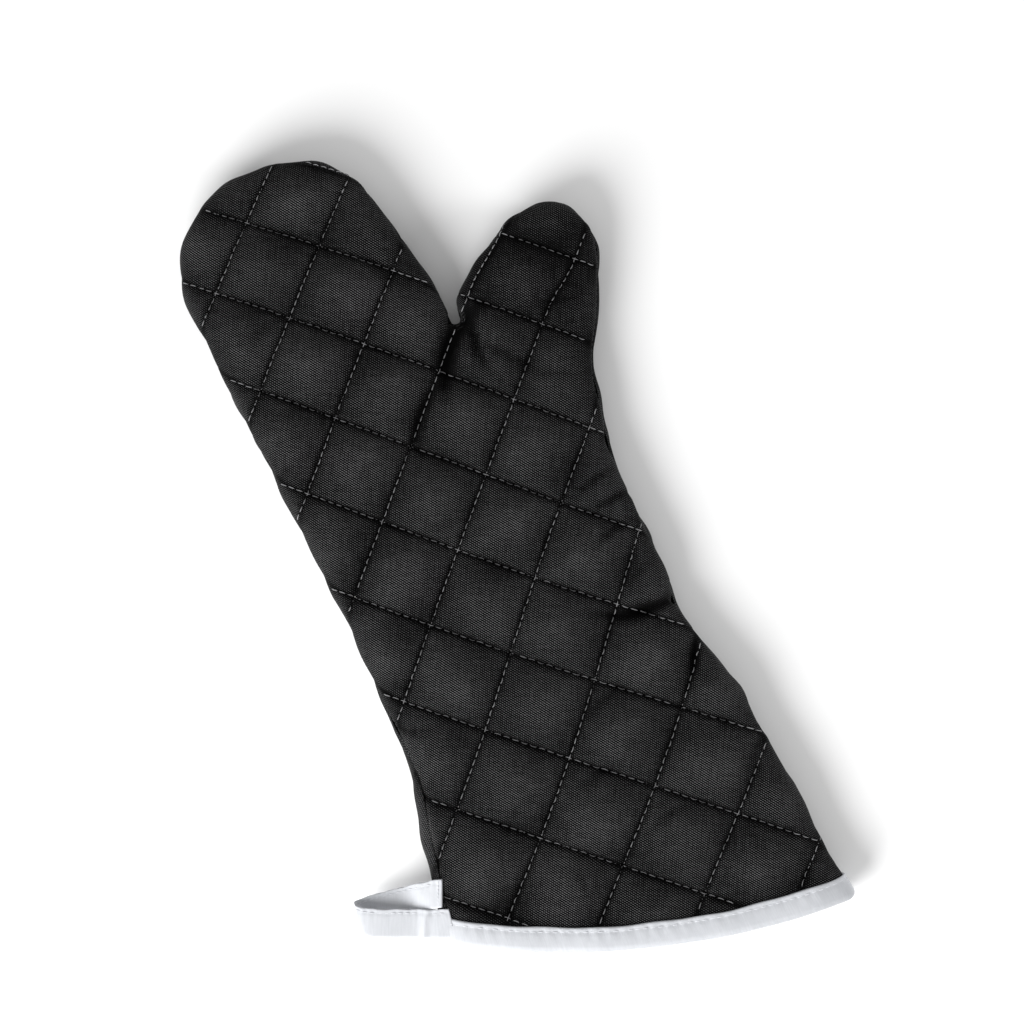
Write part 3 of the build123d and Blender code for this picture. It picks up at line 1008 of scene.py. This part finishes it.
def quiltStitches(side, sign, tree):
    corners = flatToRows(unspread(outline.points))
    step = quilting["stitchLength"] / quilting["pitch"]
    show = stitching["showing"] / quilting["pitch"]
    uneven = stitching["unevenness"]
    spots = []
    for own in (0, 1):
        low, high = corners[:, own].min(), corners[:, own].max()
        far = (corners[:, 1 - own].min(), corners[:, 1 - own].max())
        for line in range(math.ceil(low), math.floor(high) + 1):
            for k in range(math.floor(far[0] / step), math.ceil(far[1] / step)):
                begin = (k + 0.5) * step - show / 2
                pair = np.zeros((2, 2))
                pair[:, own] = line
                pair[:, 1 - own] = (begin, begin + show)
                pair[:, 1 - own] += rng.uniform(-uneven, uneven, 2)
                pair[:, own] += rng.uniform(-0.003, 0.003, 2)
                spots.append(pair)
    ends = spread(rowsToFlat(np.array(spots).reshape(-1, 2)))
    depth = outline.depth(ends).reshape(-1, 2).min(1)
    rise = fromMouth(ends).reshape(-1, 2).min(1)
    ends = ends.reshape(-1, 2, 2)[(depth > 1.2) & (rise > 12.2)]
    rows = {0: [], 1: [], 2: []}
    for a, b in ends:
        (pa, na), (pb, nb) = dropOnto(tree, a, sign), dropOnto(tree, b, sign)
        if pa is None or pb is None:
            continue
        rows[int(regionOf(((pa + pb) / 2)[None])[0])].append((pa, pb, na + nb))
    names, nodes = pieceNames(side, "quilting"), nodesFor(side, "quilting")
    sewRows(rows, names, nodes, greyThread, stitching["quilting"])
    print(side, "quilted:", len(ends), "stitches")


for side, (sign, *_) in sides.items():
    quiltStitches(side, sign, trees[side])


def sideSeam():
    seam = covers["front"]["seam"]
    keep = fromMouth(seam[:, :2]) > 6
    rows = {0: [], 1: [], 2: []}
    for i in range(0, len(seam) - 2, 2):
        if keep[i] and keep[i + 2]:
            a, b = seam[i], seam[i] + (seam[i + 2] - seam[i]) * 0.8
            out = -np.append(outline.inward[i], 0)
            rows[int(regionOf(((a + b) / 2)[None])[0])].append((a, b, out))
    names = ("sideSeamHand", "sideSeamThumb", "sideSeamCuff")
    nodes = [["side_seam_palm", "side_seam_fingers"], ["side_seam_thumb"], ["side_seam_cuff"]]
    sewRows(rows, names, nodes, blackThread, stitching["seam"])


sideSeam()
print("side seam closed")

binding = {
    "width": 11.8,
    "tape": 0.75,
    "rowInset": 2.0,
    "stitchLength": 3.6,
    "dimple": 0.34,
    "pucker": 0.16,
    "squeeze": 1.1,  # the tape presses the panel this much thinner on each face
    "stations": 190,
}


def sideLine(which):  # the straight side of the cuff at the mouth: a point on it and its direction
    corners = outlineCorners(mittShape)
    a, b = (corners[0], corners[-1]) if which == "left" else (corners[1], corners[2])
    a, b = np.array(a[:2]), np.array(b[:2])
    ahead = (b - a) / np.linalg.norm(b - a)
    inward = np.array([ahead[1], -ahead[0]]) * (1 if which == "left" else -1)
    return a, ahead, inward


def mouthCorner(which, depth, rise):  # where a line at that depth meets the mouth moved in by rise
    a, ahead, inward = sideLine(which)
    start = a + inward * depth - mouthCentre
    b = start @ ahead
    c = start @ start - (mouthRadius - rise) ** 2
    root = math.sqrt(b * b - c)
    t = min((-b - root, -b + root), key=lambda k: abs((start + ahead * k)[1] + mouthCentre[1] + 220))
    return start + ahead * t + mouthCentre


def mouthPlan(station, rise):
    kind, value = station
    width = mittShape["sideWidth"]
    if kind != "middle":
        return mouthCorner(kind, rowDepth(value), rise), rowDepth(value)
    left, right = mouthCorner("left", width, rise), mouthCorner("right", width, rise)
    a0 = math.atan2(*(left - mouthCentre)[::-1])
    a1 = math.atan2(*(right - mouthCentre)[::-1])
    angle = a0 + (a1 - a0) * value
    point = mouthCentre + (mouthRadius - rise) * np.array([math.cos(angle), math.sin(angle)])
    return point, None


def mouthStations(number):
    corner = [k / 9 for k in range(9)]
    loop = [("left", t, 1) for t in corner]
    loop += [("middle", k / number, 1) for k in range(number + 1)]
    loop += [("right", t, 1) for t in corner[::-1]]
    loop += [("right", t, -1) for t in corner[1:]]
    loop += [("middle", 1 - k / number, -1) for k in range(number + 1)]
    loop += [("left", t, -1) for t in corner[:0:-1]]
    return loop


def bindingSurface(loop, rise):  # the pressed cover's outer face, this far in from the mouth
    places = [mouthPlan(station[:2], rise) for station in loop]
    plans = np.array([plan for plan, depth in places])
    known = np.array([depth is not None for plan, depth in places])
    depths = outline.depth(plans)
    depths[known] = [depth for plan, depth in places if depth is not None]
    signs = np.array([sign for kind, value, sign in loop])
    height = halfHeight(depths, seamZ, mittShape["shoulderWidth"])
    height = height - binding["squeeze"] * smooth(depths / 9)
    wobble = waves(plans + signs[:, None] * 300, (30, 80), 0.3, 5)
    height = height + np.maximum(wobble, -0.4) * smooth(depths / 12)
    return np.column_stack([plans, seamZ + signs * height])


def makeBinding():
    loop = mouthStations(binding["stations"])
    number = len(loop)
    width, tape, thick = binding["width"], binding["tape"], mittShape["boundThickness"]
    rowRise = width - binding["rowInset"]
    # across the tape: distance in from the mouth, height over the cover
    middle = -thick / 2
    roll = [
        (3.4 + 3.4 * math.cos(a), middle + (thick / 2 + tape * 1.35) * math.sin(a))
        for a in np.radians([95, 108, 121, 134, 147, 160, 172, 185, 198, 212, 226, 241, 256, 268])
    ]
    across = [
        (width + 0.15, -1.3), (width + 0.1, tape * 0.4), (width - 0.25, tape * 0.85),
        (width - 1.0, tape), (width - 1.5, tape), (rowRise, tape), (width - 2.5, tape),
        (width - 3.2, tape * 1.1), (width - 4.6, tape * 1.25), (width - 6.4, tape * 1.35),
        *roll,
        (5.0, -thick - tape * 1.3), (8.0, -thick - tape * 1.2), (rowRise, -thick - tape),
        (width - 0.3, -thick - tape * 0.85), (width, -thick - tape * 0.3), (width + 0.1, -thick + 0.4),
    ]
    across = [(max(rise, 0.02), height) for rise, height in across]
    levels = {rise: bindingSurface(loop, rise) for rise in {a for a, _ in across}}
    levels[2.0] = bindingSurface(loop, 2.0)
    ahead = bindingSurface(loop, 6.5) - bindingSurface(loop, 5.5)
    along = np.roll(levels[2.0], -1, axis=0) - np.roll(levels[2.0], 1, axis=0)
    normal = unit(np.cross(along, ahead))
    for _ in range(3):
        normal = unit(normal + 0.5 * (np.roll(normal, 1, axis=0) + np.roll(normal, -1, axis=0)))
    outward = levels[2.0] - np.array([0, levels[2.0][:, 1].mean(), seamZ])
    if (normal * outward)[:, 2].sum() < 0:
        normal = -normal
    walked = walkedAlong(levels[2.0])
    draw = np.random.default_rng(29)
    phase = np.cumsum(draw.uniform(-0.25, 0.25, number))
    spotty = np.interp(walked, np.linspace(0, walked[-1], 46), draw.uniform(0.3, 1.4, 46))
    points, pattern = [], []
    runOver = 0.0
    for k, (rise, height) in enumerate(across):
        near = math.exp(-(((rise - rowRise) / 0.9) ** 2))
        hole = 0.5 + 0.5 * np.cos(2 * math.pi * walked / binding["stitchLength"])
        lift = -binding["dimple"] * near * (0.5 + 0.5 * hole)
        fold = np.sin(2 * math.pi * walked / (2 * binding["stitchLength"]) + phase)
        lift = lift + binding["pucker"] * spotty * fold * smooth((rise - 3.5) / 5)
        lift = lift * np.clip((height + 2.5) / 2, -1, 1)
        shift = 0.25 * np.sin(walked / 9.0 + 1.3) + 0.18 * np.sin(walked / 4.1)
        body = levels[rise] + normal * (height + lift)[:, None]
        body[:, 1] += shift * smooth(rise / width)
        points.append(body)
        if k:
            runOver += math.dist(across[k], across[k - 1])
        pattern.append(np.column_stack([walked, np.full(number, runOver)]))
    strips = len(across)
    faces = []
    for k in range(strips - 1):
        for i in range(number):
            j = (i + 1) % number
            faces.append((k * number + i, k * number + j, (k + 1) * number + j, (k + 1) * number + i))
    points = np.vstack(points)
    return points, faces, np.vstack(pattern), levels, normal, walked


def faceOutward(points, faces, centre):
    total = 0.0
    for f in faces[:: max(1, len(faces) // 400)]:
        a, b, c = points[f[0]], points[f[1]], points[f[2]]
        total += np.cross(b - a, c - a) @ ((a + b + c) / 3 - centre)
    return faces if total > 0 else [f[::-1] for f in faces]


def sewBinding():
    points, faces, pattern, levels, normal, walked = makeBinding()
    sample = points[list(faces[60])]
    up = np.cross(sample[1] - sample[0], sample[2] - sample[0]) @ normal[60]
    if up < 0:
        faces = [f[::-1] for f in faces]
    piece = meshObject("mouthBinding", points, faces, pattern, whiteTape)
    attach(piece, "cuff")
    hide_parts("mouth_binding")
    rowRise = binding["width"] - binding["rowInset"]
    row = levels[rowRise] + normal * (binding["tape"] - binding["dimple"] * 0.55)
    step = binding["stitchLength"]
    at = np.arange(step / 2, walked[-1] - step, step)
    starts, ends = (pointsAt(at + shift, walked, row) for shift in (-step * 0.36, step * 0.36))
    keep = np.linalg.norm(ends - starts, axis=1) < 4
    stitches = dashMesh(
        starts[keep], ends[keep], pointsAt(at, walked, normal)[keep], *stitching["binding"]
    )
    thread = meshObject("bindingStitch", *stitches, whiteThread)
    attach(thread, "cuff")
    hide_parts("binding_stitch")


sewBinding()
print("mouth bound")

loopTape = {
    "width": 13.4,
    "thickness": 1.3,
    "angle": 155.5,  # direction of the legs in plan
    "origin": (-89.8, -176.5, seamZ),
    "bend": (0.5, 7.0),  # the tape bends over this stretch out from its sewn end
    "tackStitches": 6,
}
# the tape's run: distance out, shift along its own width, height over the seam
loopRun = [
    (-5.2, -8.3, 9.3), (-1.5, -8.4, 8.7), (2.5, -8.5, 7.4), (6.0, -8.6, 6.6), (8.0, -8.6, 5.6),
    (14.0, -8.6, 5.2), (22.0, -8.7, 5.4), (30.0, -8.5, 5.2), (35.2, -7.9, 4.2), (37.6, -6.8, 1.4),
    (37.2, -5.6, -1.8), (34.0, -4.2, -3.2), (26.0, -1.8, -2.8), (17.0, 0.6, -0.6), (9.0, 3.0, 2.6),
    (4.0, 4.3, 5.8), (0.5, 5.2, 8.0), (-2.4, 5.7, 9.4),
]


def smoothRun(points, number):  # a quadratic B-spline through the listed points
    points = np.array(points, float)
    points = np.vstack([2 * points[0] - points[1], points, 2 * points[-1] - points[-2]])
    out = []
    spans = len(points) - 2
    for k in range(number + 1):
        x = k / number * spans
        i = min(int(x), spans - 1)
        t = x - i
        a, b, c = points[i], points[i + 1], points[i + 2]
        out.append(0.5 * ((1 - t) ** 2 * a + (1 + 2 * t - 2 * t * t) * b + t * t * c))
    return np.array(out)


def makeLoop():
    angle = math.radians(loopTape["angle"])
    outward = np.array([math.cos(angle), math.sin(angle), 0])
    across = np.array([math.sin(angle), -math.cos(angle), 0])
    number = 110
    run = smoothRun(loopRun, number)
    centre = np.array(loopTape["origin"]) + run[:, :1] * outward + run[:, 1:2] * across
    centre[:, 2] += run[:, 2]
    normal = unit(np.cross(unit(np.gradient(centre, axis=0)), across))
    walked = walkedAlong(centre)
    half, thick = loopTape["width"] / 2, loopTape["thickness"] / 2
    # section of the folded tape: closed edge at the bottom, the two open edges at the top
    section = [
        (-half, 0.0), (-half + 0.12, thick * 0.75), (-half + 0.6, thick), (-half * 0.8, thick),
        (-half * 0.2, thick), (half * 0.2, thick), (half * 0.5, thick), (half - 2.8, thick),
        (half - 2.0, thick * 0.62), (half - 1.2, thick), (half - 0.4, thick), (half, thick * 0.8),
        (half, thick * 0.25), (half - 0.7, 0.0), (half - 0.1, -thick * 0.25), (half - 0.1, -thick * 0.8),
        (half - 0.5, -thick), (half - 1.2, -thick), (half - 2.0, -thick * 0.62), (half - 2.8, -thick),
        (half * 0.4, -thick), (0.0, -thick), (-half * 0.8, -thick), (-half + 0.6, -thick),
        (-half + 0.12, -thick * 0.75),
    ]
    sides = len(section)
    turn = int(np.argmax(centre @ outward))
    points, faces, pattern = [], [], []
    around = walkedAlong(section)
    for i in range(number + 1):
        for k, (v, n) in enumerate(section):
            openShare = smooth((v - 1) / 4)
            low = (half - v) / loopTape["width"]
            ripple = 0.16 * math.sin(walked[i] * 1.75 + 0.6) * openShare
            ripple -= 1.0 * math.exp(-(((walked[i] - 10.5 - 1.2 * low) / 1.5) ** 2))
            ripple += 0.3 * math.sin(walked[i] * 0.31 + v * 0.22) * min(1.0, walked[i] / 12)
            edge = 0.2 * math.sin(walked[i] * 0.55 + (2 if n > 0 else 0))
            back = 3.0 * low**8 * math.exp(-(((centre[i] - centre[turn]) @ outward) / 7.0) ** 2)
            back += 3.6 * low * math.exp(-((walked[i] / 4.0) ** 2))
            points.append(
                centre[i] + across * (v + edge * openShare) + normal[i] * (n + ripple) - outward * back
            )
            pattern.append((walked[i], around[k]))
    for i in range(number):
        for k in range(sides):
            a, b = i * sides + k, i * sides + (k + 1) % sides
            faces.append((a, b, b + sides, a + sides))
    faces.append(tuple(range(sides))[::-1])
    faces.append(tuple(number * sides + k for k in range(sides)))
    points = np.array(points)
    faces = faceOutward(points, faces, points.mean(0))
    return points, faces, np.array(pattern), centre, across, normal, walked


def sewLoop():
    points, faces, pattern, centre, across, normal, walked = makeLoop()
    piece = meshObject("hangingLoop", points, faces, pattern, whiteTape)
    at = np.arange(2.0, walked[-1] - 6.0, 3.4)
    row = centre + across * (loopTape["width"] / 2 - 2.0)
    starts, ends, ups = [], [], []
    for face in (-1, 1):
        line = row + normal * face * (loopTape["thickness"] / 2 - 0.1)
        for offset, store in ((0.0, starts), (2.3, ends)):
            store += list(pointsAt(at + offset, walked, line))
        ups += list(pointsAt(at, walked, normal * face))
    thread = meshObject("hangingLoopStitch", *dashMesh(starts, ends, ups, *stitching["loop"]), whiteThread)
    axis = np.array(jointAt["loop_swing"]["axis"])
    out = np.cross(axis, [0, 0, 1])
    out = out if out[0] < 0 else -out
    for part in (piece, thread):
        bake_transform(part)
    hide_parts("hanging_loop")
    sewTack(centre, across, normal)


def sewTack(centre, across, normal):  # a row of stitches holds the cut end on the side seam
    end = centre[-1] - (centre[-1] - centre[-8]) * 0.45
    up = normal[-1] if normal[-1][2] > 0 else -normal[-1]
    number, step, first = loopTape["tackStitches"], 1.85, -4.6
    places = first + step * np.arange(number)
    starts = np.array([end + across * place + up * 0.62 for place in places])
    ends = starts + across * 1.35
    stitches = dashMesh(starts, ends, np.tile(up, (number, 1)), *stitching["binding"])
    tack = meshObject("loopTack", *stitches, whiteThread)
    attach(tack, "cuff")
    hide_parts("loop_tack")


sewLoop()
print("loop sewn on")

studio = {
    "viewCentre": (21.1, -22.4),
    "viewAcross": 484.6,
    "viewTurn": -24.5,
    "cameraHeight": 1.7,
    "sensor": 36.0,
    "sky": 0.50,
}
lights = {  # where each stands from the mitt, how far off, its width in metres and its power
    "keyLight": ((-0.937, -0.45, 0.62), 1.05, 0.9, 19.0),
    "rimLight": ((0.95, -0.35, 0.32), 1.4, 0.5, 8.0),
    "topFill": ((0.1, 0.5, 1.2), 1.8, 1.2, 0.8),
}


def makeFloor():
    material, tree, shader = newMaterial("paleFloor", (0.93, 0.93, 0.93), 0.9, specular=0.1)
    coordinates = tree.nodes.new("ShaderNodeTexCoord").outputs["Object"]
    grain = noise(tree, coordinates, 3.0, 3.0)
    color = ramp(tree, grain, [(0.3, (0.925, 0.925, 0.925)), (0.7, (0.94, 0.94, 0.94))])
    tree.links.new(color, shader.inputs["Base Color"])
    mesh = bpy.data.meshes.new("floor")
    r = 3.0
    mesh.from_pydata([(-r, -r, 0), (r, -r, 0), (r, r, 0), (-r, r, 0)], [], [(0, 1, 2, 3)])
    mesh.materials.append(material)
    floor = bpy.data.objects.new("floor", mesh)
    floor.location.z = -0.0003
    bpy.context.scene.collection.objects.link(floor)


def addLight(name, towards, distance, size, power):
    data = bpy.data.lights.new(name, "AREA")
    data.shape = "DISK"
    data.size = size
    data.energy = power
    light = bpy.data.objects.new(name, data)
    middle = Vector((studio["viewCentre"][0] * mm, studio["viewCentre"][1] * mm, 0))
    light.location = middle + Vector(towards).normalized() * distance
    light.rotation_euler = (middle - light.location).to_track_quat("-Z", "Y").to_euler()
    bpy.context.scene.collection.objects.link(light)


def lightStudio():
    world = bpy.data.worlds.new("studio")
    world.use_nodes = True
    world.node_tree.nodes["Background"].inputs[0].default_value = (1.0, 1.0, 1.0, 1)
    world.node_tree.nodes["Background"].inputs[1].default_value = studio["sky"]
    bpy.context.scene.world = world
    for name, settings in lights.items():
        addLight(name, *settings)


def addCamera():
    data = bpy.data.cameras.new("camera")
    data.sensor_width = studio["sensor"]
    toPalm = studio["cameraHeight"] - palmTop * mm * 0.8
    data.lens = studio["sensor"] * toPalm / (studio["viewAcross"] * mm)
    data.clip_end = 20
    camera = bpy.data.objects.new("camera", data)
    x, y = studio["viewCentre"]
    camera.location = (x * mm, y * mm, studio["cameraHeight"])
    camera.rotation_euler = (0, 0, math.radians(studio["viewTurn"]))
    bpy.context.scene.collection.objects.link(camera)
    bpy.context.scene.camera = camera


makeFloor()
lightStudio()
addCamera()
bpy.context.scene.view_settings.view_transform = "Standard"
print("studio set")
